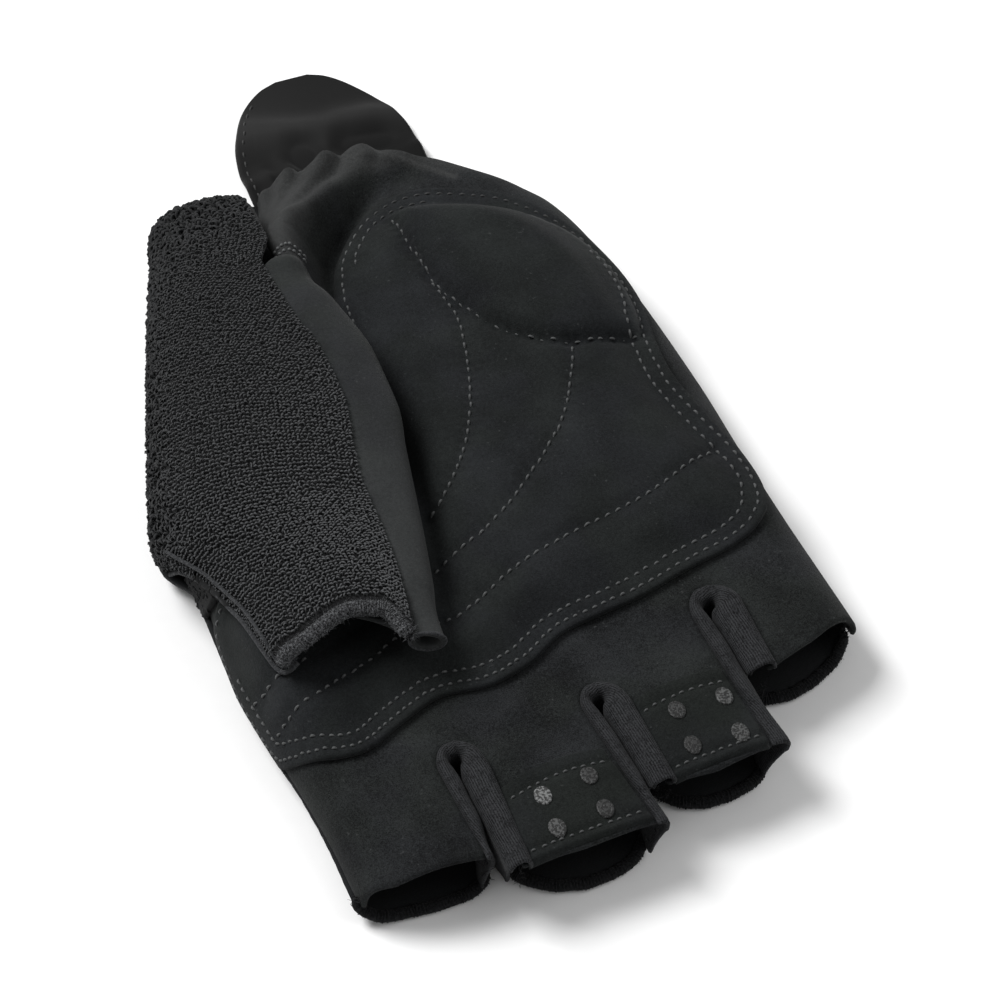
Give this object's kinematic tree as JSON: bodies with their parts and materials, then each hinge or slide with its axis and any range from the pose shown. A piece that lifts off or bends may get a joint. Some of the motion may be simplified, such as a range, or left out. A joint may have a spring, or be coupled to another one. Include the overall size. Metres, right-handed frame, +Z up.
{
  "type": "half-finger cycling glove",
  "caption": "Half-finger cycling glove for the right hand, lying palm up: suede palm with a quilted padded patch, towelling thumb, ribbed finger sides, gathered wrist and a round pull tab.",
  "frame": {"origin": "centre of the outline on the surface the glove lies on", "axes": "+Z up out of the palm, +Y from the fingers to the wrist, +X towards the little finger"},
  "size_m": [0.1094, 0.1957, 0.0298],
  "materials": {
    "suede": "brushed black synthetic suede",
    "stretch_knit": "fine black stretch knit",
    "rib_jersey": "ribbed black jersey",
    "terry": "looped black towelling",
    "binding": "fuzzy black overlocked edge",
    "grip_suede": "smooth black synthetic suede",
    "silicone": "satin grey silicone print",
    "softshell": "smooth dark grey stretch cloth"
  },
  "bodies": {
    "root": {"palm_shell": "suede", "back_shell": "stretch_knit", "fourchette_index_middle": "rib_jersey", "fourchette_middle_ring": "rib_jersey", "fourchette_ring_little": "rib_jersey", "palm_pad": "suede", "thumb_terry": "terry", "thumb_strip": "suede", "thumb_binding": "binding", "thumb_web": "terry", "hem_index": "binding", "hem_middle": "binding", "hem_ring": "binding", "hem_little": "binding", "grip_patch_middle": "grip_suede", "grip_dot_middle_1": "silicone", "grip_dot_middle_2": "silicone", "grip_dot_middle_3": "silicone", "grip_dot_middle_4": "silicone", "grip_patch_ring": "grip_suede", "grip_dot_ring_1": "silicone", "grip_dot_ring_2": "silicone", "grip_dot_ring_3": "silicone", "grip_dot_ring_4": "silicone", "pull_tab": "softshell"}
  },
  "joints": []
}
